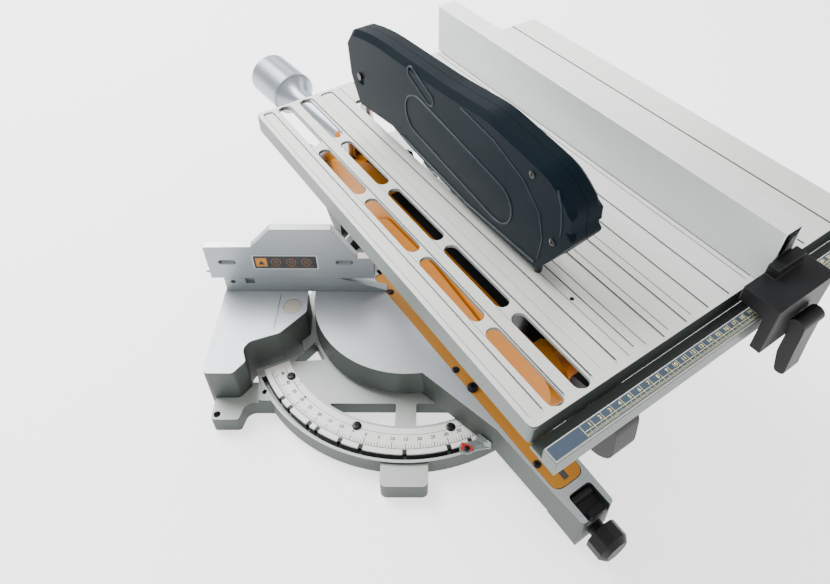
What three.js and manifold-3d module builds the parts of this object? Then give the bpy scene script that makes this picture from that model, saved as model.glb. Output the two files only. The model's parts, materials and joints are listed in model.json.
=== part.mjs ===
// Table-top mitre saw: a turntable mitre saw whose head also carries a small bench-saw table.
// Millimetres, +Z up. Origin: the mitre pivot axis where it meets the bench. +X runs right along
// the fence and -Y points at the operator. The arm frame has +X forward along the arm (a),
// +Y to the arm's right (b) and +Z up; the arm rests MITRE_REST degrees to the right.
import * as THREE from 'three';
import { mergeVertices } from 'three/addons/utils/BufferGeometryUtils.js';
import Module from 'manifold-3d';

const wasm = await Module();
wasm.setup();

// ---- driving dimensions -------------------------------------------------------------------
const MITRE_REST = 34.6;          // arm angle to the right of straight ahead, degrees
const GAP = 0.3;                  // clearance between touching pieces

const TABLE_Z = 75.5;             // turntable and side-table working height
const FLOOR_Z = 29;               // top of the base floor, under the mitre scale
const FOOT_Z = 24;                // top of the corner feet
const TURNTABLE_R = 121.7;
const RIM_R = 209;                // outer radius of the base rim
const SCALE_R0 = 166.5;           // mitre scale plate, inner and outer radius
const SCALE_R1 = 199;
const SCALE_HALF = 64.5;          // half angle of the scale plate, degrees
const DETENTS = [-50, -45, -35.3, -31.6, -22.5, -15, 0, 15, 22.5, 31.6, 35.3, 45, 50];

const FENCE_Y = 5;                // front face of the cross-cut fence
const FENCE_T = 11;
const FENCE_BASE_TOP = 101;
const FENCE_TOP = 187.4;
const BRIDGE_R = [80, 92];        // bridge behind the blade that joins both fence halves

const BEVEL_A = -118;             // joint face of the bevel trunnion along the arm
const TRUNNION_R = 38;
const PIVOT = { a: -165, z: 205 };// chop hinge axis
const BLADE = { a: 72, z: 196, r: 130, bore: 15 };
const MOTOR = { a: 99, z: 228, r: 36.5 };

const TOP_Z = 328;                // bench-table surface with the table raised
const TOP_A = [-127, 336];        // bench-table length along the arm
const TOP_B = [-110, 290];        // bench-table width
const SKIRT = 21;                 // height of the table's edge
const TOP_T = 4.5;
const SLOT = { pitch: 93.2, len: 83.7, w: 13.5, a0: -124, rows: [-80.2, -54.3] };
const BLADE_SLOT = { a0: -89, a1: 184, half: 8.5 };
const RAIL = { a0: 348.5, a1: 362, top: 321, bottom: 304 };
const COLUMNS = [[-104, -14], [-104, 14], [226, -23], [226, 25]];

const GUARD_HALF = 16;            // half width of the upper guard
const RIP = { b: 136, w: 25, h: 58 };
const GUARD_PIVOT = { a: -55, z: 380 };
const SPOUT = { a: -116, z: 246, turn: 184 };

const SMOOTH = 5;                 // curve segments per rounded corner
const ROUND = 28;                 // sides of a plain cylinder

// ---- materials ----------------------------------------------------------------------------
const paint = (color, roughness, metalness) =>
  new THREE.MeshStandardMaterial({ color, roughness, metalness });
const CAST = paint(0xa9b0ae, 0.55, 0.6);
const MACHINED = paint(0xc3ccd2, 0.35, 0.8);
const TABLE_METAL = paint(0xe2e2dc, 0.4, 0.7);
const STEEL = paint(0xb9bcc0, 0.25, 0.95);
const BLACK_STEEL = paint(0x16171a, 0.4, 0.5);
const AMBER = paint(0xe0a32f, 0.45, 0.0);
const KERF_AMBER = paint(0xc88c2d, 0.5, 0.0);
const BLACK = paint(0x1a1b1d, 0.6, 0.0);
const SMOKED = paint(0x2b3a46, 0.15, 0.0);
const CLEAR = paint(0xb8c4c6, 0.1, 0.0);
const RED = paint(0xb3262a, 0.4, 0.0);
const SCALE_WHITE = paint(0xebedeb, 0.35, 0.3);
const RULE_BLUE = paint(0x3c4b5f, 0.4, 0.1);

// ---- solids -------------------------------------------------------------------------------
const V3 = (x, y, z) => new THREE.Vector3(x, y, z);
const AXES = {
  z: new THREE.Matrix4(),
  y: new THREE.Matrix4().makeBasis(V3(1, 0, 0), V3(0, 0, 1), V3(0, -1, 0)),
  x: new THREE.Matrix4().makeBasis(V3(0, 1, 0), V3(0, 0, 1), V3(1, 0, 0)),
};

function solid(geometry) {
  const bare = geometry.index ? geometry.toNonIndexed() : geometry.clone();
  bare.deleteAttribute('normal');
  bare.deleteAttribute('uv');
  const welded = mergeVertices(bare, 1e-4);
  return new wasm.Manifold(new wasm.Mesh({
    numProp: 3,
    vertProperties: new Float32Array(welded.attributes.position.array),
    triVerts: new Uint32Array(welded.index.array),
  }));
}

const join = (...parts) => parts.reduce((sum, part) => sum.add(part));
const cut = (body, ...tools) => tools.reduce((left, tool) => left.subtract(tool), body);

function box(x0, x1, y0, y1, z0, z1) {
  const geometry = new THREE.BoxGeometry(x1 - x0, y1 - y0, z1 - z0);
  geometry.translate((x0 + x1) / 2, (y0 + y1) / 2, (z0 + z1) / 2);
  return solid(geometry);
}

// A cylinder along an axis, from lo to hi, centred on (u, v) in the plane across that axis.
function rod(axis, u, v, radius, lo, hi, sides = ROUND, radiusHi = radius) {
  const geometry = new THREE.CylinderGeometry(radiusHi, radius, hi - lo, sides);
  const mid = (lo + hi) / 2;
  if (axis === 'z') {
    geometry.rotateX(Math.PI / 2);
    geometry.translate(u, v, mid);
  } else if (axis === 'x') {
    geometry.rotateZ(-Math.PI / 2);
    geometry.translate(mid, u, v);
  } else {
    geometry.translate(u, mid, v);
  }
  return solid(geometry);
}

const tube = (axis, u, v, rOut, rIn, lo, hi, sides = ROUND) =>
  cut(rod(axis, u, v, rOut, lo, hi, sides), rod(axis, u, v, rIn, lo - 1, hi + 1, sides));

// A closed outline whose corners [x, y, radius] are rounded where a radius is given.
function outline(corners) {
  const shape = new THREE.Shape();
  const count = corners.length;
  corners.forEach((corner, i) => {
    const at = new THREE.Vector2(corner[0], corner[1]);
    const before = corners[(i + count - 1) % count];
    const after = corners[(i + 1) % count];
    const reach = (other) => Math.hypot(other[0] - at.x, other[1] - at.y) * 0.46;
    const radius = Math.min(corner[2] || 0, reach(before), reach(after));
    const toward = (other) =>
      new THREE.Vector2(other[0], other[1]).sub(at).normalize().multiplyScalar(radius).add(at);
    const start = toward(before);
    if (i === 0) shape.moveTo(start.x, start.y);
    else shape.lineTo(start.x, start.y);
    if (radius > 0) {
      const end = toward(after);
      shape.quadraticCurveTo(at.x, at.y, end.x, end.y);
    }
  });
  shape.closePath();
  return shape;
}

// An outline pushed along an axis from lo to hi. Along y the outline is (x, z), along x it is (y, z).
function prism(axis, shape, lo, hi) {
  const depth = hi - lo;
  const geometry = new THREE.ExtrudeGeometry(shape, { depth, bevelEnabled: false, curveSegments: SMOOTH });
  geometry.applyMatrix4(AXES[axis]);
  if (axis === 'z') geometry.translate(0, 0, lo);
  if (axis === 'y') geometry.translate(0, hi, 0);
  if (axis === 'x') geometry.translate(lo, 0, 0);
  return solid(geometry);
}

const slab = (corners, z0, z1) => prism('z', outline(corners), z0, z1);
const mirrorX = (corners) => corners.map(([x, y, r]) => [-x, y, r]).reverse();
const bothSides = (corners, z0, z1) => join(slab(corners, z0, z1), slab(mirrorX(corners), z0, z1));

// Angle measured from straight ahead (-Y), positive to the right.
const polar = (r, deg) => {
  const t = THREE.MathUtils.degToRad(deg);
  return [r * Math.sin(t), -r * Math.cos(t)];
};

function arcPoints(r, from, to, steps) {
  return Array.from({ length: steps + 1 }, (_, i) => polar(r, from + ((to - from) * i) / steps));
}

const ringSector = (r0, r1, from, to, z0, z1, steps = 36) =>
  slab([...arcPoints(r1, from, to, steps), ...arcPoints(r0, to, from, steps)], z0, z1);

function stadium(cx, cy, length, width) {
  const r = width / 2;
  const half = length / 2 - r;
  const shape = new THREE.Shape();
  shape.moveTo(cx - half, cy - r);
  shape.lineTo(cx + half, cy - r);
  shape.absarc(cx + half, cy, r, -Math.PI / 2, Math.PI / 2, false);
  shape.lineTo(cx - half, cy + r);
  shape.absarc(cx - half, cy, r, Math.PI / 2, Math.PI * 1.5, false);
  return shape;
}

function mesh(name, body, material, place = [0, 0, 0]) {
  const whole = body.decompose().sort((one, other) => other.volume() - one.volume())[0];
  const out = whole.getMesh();
  const geometry = new THREE.BufferGeometry();
  geometry.setAttribute('position', new THREE.BufferAttribute(new Float32Array(out.vertProperties), 3));
  geometry.setIndex(new THREE.BufferAttribute(new Uint32Array(out.triVerts), 1));
  geometry.computeVertexNormals();
  const item = new THREE.Mesh(geometry, material);
  item.name = name;
  item.position.set(...place);
  return item;
}

// ---- base ---------------------------------------------------------------------------------
const SIDE_TABLE = [
  [-239.5, 48, 4], [-239.5, -122, 6], [-204, -122, 4], [-191.5, -105, 3], [-198.5, -87, 6],
  [-193, -76, 6], [-158, -63, 3], [-128.8, -29, 3], [-131, 5], [-160, 48],
];
const SIDE_HOLLOW = [
  [-234.5, 43], [-234.5, -117], [-206, -117], [-197, -104], [-204, -88],
  [-198, -72], [-161, -58], [-136, -27], [-140, 4], [-163, 43],
];
const CORNER_FOOT = [
  [-233.5, -100], [-233.5, -152, 5], [-200, -152, 4], [-196, -134, 5], [-189, -129, 4],
  [-158, -129], [-150, -100],
];
const REAR_FOOT = [[-233.5, 40], [-233.5, 80, 6], [-200, 80, 6], [-192, 40]];
const WINDOW = [
  [-90.5, -132.7, 3], [-12, -132.7, 3], ...arcPoints(163, -4.5, -34.2, 8),
];
const CORNER_WINDOW = [[-121, -41, 5], [-145, -72.5, 5], [-104.5, -69, 5]];

function baseCasting() {
  const sides = cut(
    bothSides(SIDE_TABLE, 6, TABLE_Z),
    bothSides(SIDE_HOLLOW, 0, TABLE_Z - 6),
  );
  const floor = join(
    ringSector(40, RIM_R, -66, 66, 22, FLOOR_Z, 44),
    ringSector(190, RIM_R, -66, 66, 13, FLOOR_Z, 44),
    rod('z', 0, 0, 145, 22, FLOOR_Z, 48),
    ringSector(204.7, RIM_R, -66, 66, 5, FLOOR_Z + 1, 44),
    bothSides([[-150, -100], [-158, -129, 3], [-180, -129, 3], [-186, -88]], 22, FLOOR_Z),
  );
  const groove = ringSector(SCALE_R1 + 0.6, 205.4, -62, 62, FLOOR_Z - 12, FLOOR_Z + 5, 40);
  const detents = DETENTS.map((deg) =>
    box(-2.6, 2.6, -(SCALE_R1 + 3), -(SCALE_R1 - 5), FLOOR_Z - 11, FLOOR_Z + 5).rotate([0, 0, deg]));
  const feet = join(
    bothSides(CORNER_FOOT, 0, FOOT_Z),
    bothSides(REAR_FOOT, 0, FOOT_Z),
    slab([[-27, -200], [-27, -235, 8], [27, -235, 8], [27, -200]], 0, FOOT_Z + 2),
  );
  const hub = rod('z', 0, 0, 32, 0, 37.7);
  const holes = [[-227, -145], [227, -145], [-222, 68], [222, 68]]
    .map(([x, y]) => rod('z', x, y, 4.2, -1, FOOT_Z + 1, 16));
  const plugSeats = [-148, 148].map((x) => rod('z', x, -20.5, 12, TABLE_Z - 2.5, TABLE_Z + 1, 24));
  const studHoles = [-174, 174].map((x) => rod('z', x, -117, 3, 10, FLOOR_Z + 4, 14));
  const body = join(sides, floor, feet, hub);
  return cut(
    body, groove, ...detents, bothSides(WINDOW, 10, 40), bothSides(CORNER_WINDOW, 10, 40),
    ...holes, ...plugSeats, ...studHoles,
  );
}

function mitreScale() {
  const plate = ringSector(SCALE_R0, SCALE_R1, -SCALE_HALF, SCALE_HALF, 0, 1, 52);
  const notches = DETENTS.map((deg) => {
    const notch = box(-2.6, 2.6, -(SCALE_R1 + 2), -(SCALE_R1 - 6), -1, 2);
    return notch.rotate([0, 0, deg]);
  });
  return cut(plate, ...notches);
}

function pan(radius, height) {
  return join(rod('z', 0, 0, radius, 0, height * 0.6, 20), rod('z', 0, 0, radius, height * 0.6,
    height, 20, radius * 0.8));
}

function fenceBase() {
  const plate = [
    [-237, TABLE_Z + GAP], [-237, FENCE_BASE_TOP], [-88, FENCE_BASE_TOP], [-28, 78.3],
    [-28, TABLE_Z + GAP],
  ];
  const face = (corners) => prism('y', outline(corners), FENCE_Y, FENCE_Y + 10);
  const rail = (s) => {
    const [x0, x1] = s < 0 ? [-237, -120] : [120, 237];
    return join(
      box(x0, x1, FENCE_Y + 8, 44, FENCE_BASE_TOP - 7, FENCE_BASE_TOP),
      box(x0, s < 0 ? -158 : x1, 38, 44, TABLE_Z + GAP, FENCE_BASE_TOP),
      box(s < 0 ? -237 : 158, s < 0 ? -158 : 237, 38, 44, TABLE_Z + GAP, FENCE_BASE_TOP),
    );
  };
  const bridge = ringSector(BRIDGE_R[0], BRIDGE_R[1], 98, 262, 84, 98, 30);
  const holes = [-226, 226].map((x) => rod('y', x, 94, 3.2, FENCE_Y - 1, FENCE_Y + 12, 14));
  const notches = [-204, 204].map((x) => box(x - 6, x + 6, FENCE_Y - 1, FENCE_Y + 5, 91, 102));
  return cut(join(face(plate), face(mirrorX(plate)), rail(-1), rail(1), bridge), ...holes, ...notches);
}

function slidingFence() {
  const top = FENCE_TOP;
  const z0 = FENCE_BASE_TOP + GAP;
  const face = prism('y', outline([
    [-252.5, z0], [-252.5, 156.5], [-193, 157.5], [-165.7, top], [-91.6, top], [-63, 137.7],
    [-42.8, 137.7], [-42.8, z0],
  ]), FENCE_Y, FENCE_Y + FENCE_T);
  const flange = box(-261, -112, FENCE_Y + 9, 42, z0, z0 + 4.5);
  const rib = (x, high) => prism('x', outline([
    [FENCE_Y + 9, z0], [41, z0], [41, z0 + 6], [FENCE_Y + 9, high],
  ]), x, x + 4);
  const slots = [-227, -79.5].map((x) => prism('y', stadium(x, 130.3, 22, 7), FENCE_Y - 1, FENCE_Y + 7));
  return cut(join(face, flange, rib(-252.5, 148), rib(-200, 148), rib(-116, 170)), ...slots);
}

function fenceKnob() {
  return join(
    rod('z', 0, 0, 13, 0, 9, 24, 12),
    rod('z', 0, 0, 7, 9, 14, 20),
    box(-17, 17, -3, 3, 3, 12),
  );
}

// ---- turntable ----------------------------------------------------------------------------
function turntableCasting() {
  const disc = cut(
    rod('z', 0, 0, TURNTABLE_R + 2.3, 37.8, TABLE_Z, 72, TURNTABLE_R),
    rod('z', 0, 0, TURNTABLE_R - 6, 37, TABLE_Z - 8, 60),
  );
  const arm = cut(
    slab([[90, -57], [217, -26, 4], [300, -23], [347, -20, 5], [347, 23, 5], [300, 24.5],
      [217, 26, 4], [90, 57]], 33, TABLE_Z),
    slab([[86, -50], [214, -20], [310, -17.5], [310, 18], [214, 20], [86, 50]], 32, 58),
  );
  const nose = cut(box(302, 345, -19, 22, 21, 40), box(309, 339, -14, 17, 18, 46));
  const spine = join(box(-100, 300, -19.5, -14.5, 50, 72), box(-100, 300, 14.5, 19.5, 50, 72));
  const hub = join(rod('z', 0, 0, 34, 38, 58), box(-112, 120, -26, 26, 52, 58));
  const neck = box(-108, -90, -30, 30, 38, 74);
  const hubFace = rod('x', 0, TABLE_Z, TRUNNION_R, BEVEL_A, -100, 40);
  const body = join(disc, arm, nose, spine, hub, neck, hubFace);
  const recess = slab([[-52, -22.3, 8], [308, -19.8, 12], [308, 20.3, 12], [-52, 22.3, 8]],
    TABLE_Z - 4.3, TABLE_Z + 60);
  const trench = box(-60, 303, -13, 13, 60, TABLE_Z + 1);
  const latchWell = slab([[317, -13, 5], [347.5, -13], [347.5, 17], [317, 17, 5]], 62, TABLE_Z + 1);
  const bore = rod('z', 0, 0, 12.3, 30, 54);
  const boltHole = rod('x', 0, TABLE_Z, 8.3, -130, -98, 20);
  const knobHole = rod('x', 1.5, 46, 6.3, 336, 350, 20);
  const rearFlat = box(-140, BEVEL_A, -60, 60, 30, 80);
  return cut(body, recess, trench, latchWell, bore, boltHole, knobHole, rearFlat);
}

function kerfPlate() {
  const plate = slab([[-51, -22, 8], [307, -19.5, 12], [307, 20, 12], [-51, 22, 8]], 0, 4);
  const slot = prism('x', outline([[-3.3, -1], [10, -1], [3.3, 3.4], [3.3, 5], [-3.3, 5]]), -46, 302);
  return cut(plate, slot);
}

function pointerMount() {
  return join(
    slab([[198, -32], [190, -55, 3], [197, -61, 4], [205, -55, 4], [207, -42, 3], [214, -28]], 0, 2.5),
    slab([[198, -32], [197, -37], [209, -34], [214, -28]], 0, 13),
  );
}

function lockKnob() {
  return join(
    rod('x', 0, 0, 9, 0.3, 8, 20),
    rod('x', 0, 0, 19, 8, 26, 10),
    rod('x', 0, 0, 19, 26, 32, 10, 14),
    rod('x', 0, 0, 6, -9, 2, 20),
  );
}

function detentLatch() {
  return join(
    slab([[0, -11, 3], [24, -11, 3], [30, -8, 4], [30, 12, 4], [24, 14, 3], [0, 14, 3]], 0, 4),
    slab([[22, -8], [30, -8, 3], [30, 12, 3], [22, 12]], 0, 8),
    rod('y', 5, 3, 4.5, -11, 14, 18),
  );
}

// ---- bevel bracket ------------------------------------------------------------------------
function bevelBracket() {
  const disc = rod('x', 0, TABLE_Z, TRUNNION_R, -140, BEVEL_A - GAP, 40);
  const column = prism('y', outline([
    [-122, 93], [-122, 128, 6], [-142, 178], [-184, 178], [-178, 140, 10], [-152, 108, 10], [-138, 93, 4],
  ]), -29, 29);
  const yoke = box(-184, -143, -42, 42, 160, 178);
  const ear = (b0, b1) => join(
    prism('y', outline([[-184, 176], [-187, PIVOT.z], [-143, PIVOT.z], [-146, 176]]), b0, b1),
    rod('y', PIVOT.a, PIVOT.z, 22, b0, b1, 32),
  );
  const bore = rod('y', PIVOT.a, PIVOT.z, 8.3, -50, 50, 24);
  const boltHole = rod('x', 0, TABLE_Z, 8.3, -150, -117, 20);
  return cut(join(disc, column, yoke, ear(-42, -32), ear(32, 42)), bore, boltHole);
}

function bevelScale() {
  const t = THREE.MathUtils.degToRad;
  const pts = (r, from, to) => Array.from({ length: 19 }, (_, i) => {
    const angle = t(from + ((to - from) * i) / 18);
    return [r * Math.cos(angle), r * Math.sin(angle)];
  });
  return prism('x', outline([...pts(50, 70, 150), ...pts(TRUNNION_R + GAP, 150, 70)]), 0, 2.5);
}

function bevelClampLever() {
  return join(
    rod('x', 0, 0, 13, -18, 0, 24),
    box(-14, -5, -7, 7, -62, -4),
    rod('x', 0, -62, 9, -16, -3, 20),
  );
}

// ---- head ---------------------------------------------------------------------------------
const CHEEK = [
  [-128, 193, 6], [-128, 226, 6], [-60, 262, 14], [204, 264, 20], [262, 258, 12], [286, 244, 10],
  [286, 206, 12], [262, 191, 8],
];

function headCasting() {
  const rearCut = join(box(-140, -68, -40, -26, 180, 280), box(-140, -68, 26, 40, 180, 280));
  const left = cut(prism('y', outline(CHEEK), -34, -12), rearCut);
  const right = cut(prism('y', outline(CHEEK), 12, 34), rearCut);
  const rear = prism('y', outline([[-132, 193], [-132, 224], [-70, 256], [-70, 193]]), -26, 26);
  const front = box(213, 262, -34, 34, 192, 256);
  const barrel = rod('y', PIVOT.a, PIVOT.z, 19, -20, 20, 32);
  const link = prism('y', outline([[-165, 188], [-165, 223], [-126, 226], [-126, 193]]), -20, 20);
  const socket = rod('x', 0, SPOUT.z, 19, -135, -113, 32);
  const arborBoss = join(
    rod('y', BLADE.a, BLADE.z, 36, 12, 34, 36),
    tube('y', BLADE.a, BLADE.z, 34, 21, -36.5, -12, 36),
    tube('y', BLADE.a, BLADE.z, 30, 21, -12.5, -7.3, 32),
    tube('y', BLADE.a, BLADE.z, 30, 9, 7.3, 12.5, 32),
  );
  const ridge = prism('y', outline([[-20, 212, 6], [20, 246, 8], [110, 250, 10], [190, 238, 8],
    [196, 205, 8], [-10, 198, 5]]), -36.5, -33);
  const pocket = join(
    rod('y', BLADE.a, BLADE.z, 32, 16, 50, 36),
    rod('y', MOTOR.a, MOTOR.z, 13, 16, 50, 24),
  );
  const arborHole = rod('y', BLADE.a, BLADE.z, 21, -60, -6, 30);
  const spindleHole = rod('y', BLADE.a, BLADE.z, 9, 6, 20, 24);
  const pinBore = rod('y', PIVOT.a, PIVOT.z, 8.3, -40, 40, 24);
  const knifeSlot = box(-90, -60, -1.6, 1.6, 180, 280);
  const columnBores = COLUMNS.map(([a, b]) => rod('z', a, b, 8.4, 150, 300, 20));
  const body = join(left, right, rear, front, barrel, link, socket, arborBoss, ridge);
  return cut(body, pocket, arborHole, spindleHole, pinBore, knifeSlot, spoutBar(15.3, 0, 40),
    ...columnBores);
}

// A bar along the dust outlet's own line, starting inside the socket at the head's rear.
function spoutBar(radius, from, to, radiusTo = radius) {
  return rod('x', 0, 0, radius, from, to, 28, radiusTo)
    .rotate([0, 0, SPOUT.turn])
    .translate([SPOUT.a, 0, SPOUT.z]);
}

function gearCover() {
  const plate = prism('y', outline([
    [30, 191.5, 6], [30, 252, 14], [144, 262, 14], [144, 191.5, 6],
  ]), 34.3, 39.5);
  const bell = rod('y', MOTOR.a, MOTOR.z, MOTOR.r - 0.5, 39, 44, 36);
  const cap = rod('y', BLADE.a, BLADE.z, 36, 34.3, 39.5, 36);
  return cut(join(plate, cap, bell), rod('y', MOTOR.a, MOTOR.z, 8, 30, 50, 24));
}

function motorHousing() {
  const shell = cut(
    rod('y', 0, 0, MOTOR.r, 0, 96, 40),
    rod('y', 0, 0, MOTOR.r - 3.5, -1, 97, 36),
  );
  const spokes = join(box(-34, 34, 84, 90, -3, 3), box(-3, 3, 84, 90, -34, 34), rod('y', 0, 0, 11, 84, 92, 20));
  const vents = [-18, -6, 6, 18].map((x) => box(x - 2, x + 2, 70, 80, -40, 40));
  return cut(join(shell, spokes), rod('y', 0, 0, 6.3, 70, 99, 20), ...vents);
}

function motorCap() {
  const cap = join(rod('y', 0, 0, 36.2, 0, 8, 40), rod('y', 0, 0, 36.2, 8, 15, 40, 28));
  const slots = [-20, -10, 0, 10, 20].map((x) => box(x - 2, x + 2, 4, 16, -20, 20));
  return cut(cap, rod('y', 0, 0, 26, -1, 5, 30), ...slots);
}

function armature() {
  return join(
    rod('y', 0, 0, 5, -27, 74, 20),
    rod('y', 0, 0, 24, 8, 52, 28),
    rod('y', 0, 0, 15, 56, 68, 24),
    rod('y', 0, 0, 9.4, -27, -18, 20),
  );
}

function handle() {
  const loop = cut(
    prism('y', outline([
      [0, -22, 8], [0, 26, 8], [30, 30, 10], [58, 16, 14], [62, -30, 14], [44, -46, 12], [14, -40, 10],
    ]), -14, 14),
    prism('y', outline([[12, -20, 6], [14, 8, 6], [36, 6, 8], [42, -24, 8], [34, -32, 8], [18, -28, 6]]),
      -15, 15),
  );
  const triggerSlot = box(20, 36, -6, 6, -6, 18);
  const buttonHole = rod('y', 40, 16, 5.3, 2, 16, 18);
  return cut(loop, triggerSlot, buttonHole);
}

function trigger() {
  return prism('y', outline([[0, 0, 2], [13, 0, 2], [13, -8, 3], [7, -12, 4], [0, -9, 3]]), -5.5, 5.5);
}

function torsionSpring() {
  class Coil extends THREE.Curve {
    getPoint(t) {
      const angle = t * Math.PI * 2 * 3;
      return V3(14 * Math.cos(angle), 9 * t, 14 * Math.sin(angle));
    }
  }
  const wire = new THREE.Shape();
  wire.absarc(0, 0, 1.1, 0, Math.PI * 2);
  const geometry = new THREE.ExtrudeGeometry(wire, {
    steps: 48, curveSegments: 3, extrudePath: new Coil(),
  });
  return solid(geometry);
}

function dustSpout() {
  const pipe = join(
    spoutBar(15, 0.5, 152),
    spoutBar(15, 128, 149, 29.5),
    spoutBar(29, 147, 213),
  );
  return cut(pipe, join(spoutBar(12.5, 6, 160), spoutBar(26, 153, 220)));
}

function rivingKnife() {
  const arc = (r, from, to) => Array.from({ length: 11 }, (_, i) => {
    const t = THREE.MathUtils.degToRad(from + ((to - from) * i) / 10);
    return [BLADE.a + r * Math.cos(t), BLADE.z + r * Math.sin(t)];
  });
  const plate = prism('y', outline([
    ...arc(158, 178, 123), [-30, 352, 6], [-56, 368], [-66, 376, 6], [-64, 390, 8], [-48, 392, 8],
    [20, 352, 10], ...arc(137, 104, 178),
  ]), -1.2, 1.2);
  return cut(plate, rod('y', GUARD_PIVOT.a, GUARD_PIVOT.z, 4.3, -3, 3, 20));
}

function sawBlade() {
  const teeth = 24;
  const points = [];
  for (let i = 0; i < teeth; i += 1) {
    const at = (i * 2 * Math.PI) / teeth;
    const step = (2 * Math.PI) / teeth;
    [[0, 1], [0.1, 0.955], [0.3, 0.93], [0.75, 0.96]].forEach(([f, k]) => {
      points.push([BLADE.r * k * Math.cos(at + f * step), BLADE.r * k * Math.sin(at + f * step)]);
    });
  }
  return cut(prism('y', outline(points), -1.2, 1.2), rod('y', 0, 0, BLADE.bore + GAP, -3, 3, 32));
}

function arborShaft() {
  return join(
    rod('y', 0, 0, BLADE.bore, -1.2, 1.2, 32),
    rod('y', 0, 0, 8.6, -1.4, 31, 28),
    rod('y', 0, 0, 30.5, 20, 30, 40),
  );
}

function lowerGuard() {
  const sector = (r) => {
    const arc = Array.from({ length: 17 }, (_, i) => {
      const t = THREE.MathUtils.degToRad(120 + (105 * i) / 16);
      return [r * Math.cos(t), r * Math.sin(t)];
    });
    return [[0, 0], ...arc];
  };
  const wedge = prism('y', outline(sector(135.5)), -7, 7);
  const collar = rod('y', 0, 0, 29, -7, 7, 32);
  const room = rod('y', 0, 0, 132.6, -5.2, 5.2, 72);
  const window = prism('y', outline([[-100, -48, 8], [-52, -34, 8], [-52, 34, 8], [-92, 56, 8]]), -12, 12);
  return cut(join(wedge, collar), room, rod('y', 0, 0, 22, -12, 12, 32), window);
}

// ---- bench table --------------------------------------------------------------------------
function tableTop() {
  const [a0, a1] = TOP_A;
  const [b0, b1] = TOP_B;
  const top = slab([[a0, b0, 3], [a1, b0, 7], [a1, b1, 7], [a0, b1, 3]], TOP_Z - TOP_T, TOP_Z);
  const skirtZ = TOP_Z - SKIRT;
  const skirts = join(
    box(a0 + 2, a1 - 6, b0, b0 + 4.5, skirtZ, TOP_Z - 3),
    box(a0 + 2, a1 - 6, b1 - 4.5, b1, skirtZ, TOP_Z - 3),
    box(a1 - 5, a1, b0 + 6, b1 - 6, skirtZ, TOP_Z - 3),
    slab([[a1 - 12, b0], [a1, b0, 7], [a1, b0 + 12], [a1 - 5, b0 + 12], [a1 - 12, b0 + 4.5]],
      skirtZ, TOP_Z - 3),
    slab([[a1, b1 - 12], [a1, b1, 7], [a1 - 12, b1], [a1 - 12, b1 - 4.5], [a1 - 5, b1 - 12]],
      skirtZ, TOP_Z - 3),
    box(a0 + 4, a1 - 3, 60, 64, skirtZ + 12, TOP_Z - 3),
    box(a0 + 4, a1 - 3, 200, 204, skirtZ + 12, TOP_Z - 3),
  );
  const slots = SLOT.rows.flatMap((b) => Array.from({ length: 5 }, (_, i) => {
    const mid = SLOT.a0 + SLOT.pitch * i + SLOT.len / 2;
    return prism('z', stadium(mid, b, SLOT.len, SLOT.w), TOP_Z - 20, TOP_Z + 2);
  }));
  const bladeSlot = slab([
    [BLADE_SLOT.a0, -BLADE_SLOT.half, 4], [BLADE_SLOT.a1, -BLADE_SLOT.half, 4],
    [BLADE_SLOT.a1, BLADE_SLOT.half, 4], [BLADE_SLOT.a0, BLADE_SLOT.half, 4],
  ], TOP_Z - 30, TOP_Z + 2);
  return cut(join(top, skirts), ...slots, bladeSlot);
}

function frontRail() {
  const web = box(TOP_A[1] + GAP, RAIL.a1 - 1, TOP_B[0], TOP_B[1], RAIL.bottom, RAIL.bottom + 4);
  const beam = box(RAIL.a0, RAIL.a1, TOP_B[0], TOP_B[1], RAIL.bottom, RAIL.top);
  return join(web, beam);
}

function column(height) {
  return join(rod('z', 0, 0, 8, 0, height, 24), rod('z', 0, 0, 14, height - 5, height, 24));
}

function heightKnob() {
  return join(
    rod('y', 0, 0, 14, 6, 24, 10),
    rod('y', 0, 0, 5, 0, 8, 16),
  );
}

// ---- upper guard --------------------------------------------------------------------------
const GUARD_SIDE = [
  [-75.5, 373, 3], [-80, 424, 16], [-30, 436, 30], [90, 442, 16], [152, 449, 10], [232, 440, 22],
  [257, 422, 10], [258, 404, 3], [261, 392, 4], [230, 339, 5], [134, 336.5, 8], [30, 347, 10],
  [8, 353, 4], [-60, 344, 5],
];
const GUARD_ROOM = [
  [-71, 320], [-72, 420, 12], [-30, 432, 26], [90, 438, 14], [152, 445, 9], [230, 436, 20],
  [253, 420, 10], [254, 404, 3], [256, 394, 3], [236, 362], [236, 320],
];

function guardHalf(side) {
  const [lo, hi] = side < 0 ? [-GUARD_HALF, -0.15] : [0.15, GUARD_HALF];
  const inner = side < 0 ? [-GUARD_HALF + 2.5, 5] : [-5, GUARD_HALF - 2.5];
  const shell = prism('y', outline(GUARD_SIDE), lo, hi);
  const room = prism('y', outline(GUARD_ROOM), inner[0], inner[1]);
  const pinBore = rod('y', GUARD_PIVOT.a, GUARD_PIVOT.z, 4.3, -20, 20, 16);
  return cut(shell, room, pinBore);
}

// ---- rip fence ----------------------------------------------------------------------------
function ripProfile() {
  const { b, w, h } = RIP;
  const z0 = TOP_Z + GAP;
  const bar = box(TOP_A[0] - 4, TOP_A[1] + 6, b, b + w, z0, z0 + h);
  const inner = box(TOP_A[0] - 10, TOP_A[1] + 12, b + 3, b + w - 3, z0 + 3, z0 + 30);
  const upper = box(TOP_A[0] - 10, TOP_A[1] + 12, b + 3, b + w - 3, z0 + 33, z0 + h - 3);
  return cut(bar, inner, upper);
}

function ripHead() {
  const { b } = RIP;
  const top = TOP_A[1] + 6 + GAP;
  return join(
    box(top, 376, b - 34, b + 40, TOP_Z + 4, TOP_Z + 20),
    box(366, 376, b - 34, b + 40, 296, TOP_Z + 6),
    box(top, 352, b - 8, b + 30, TOP_Z + 18, TOP_Z + 30),
  );
}

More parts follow.
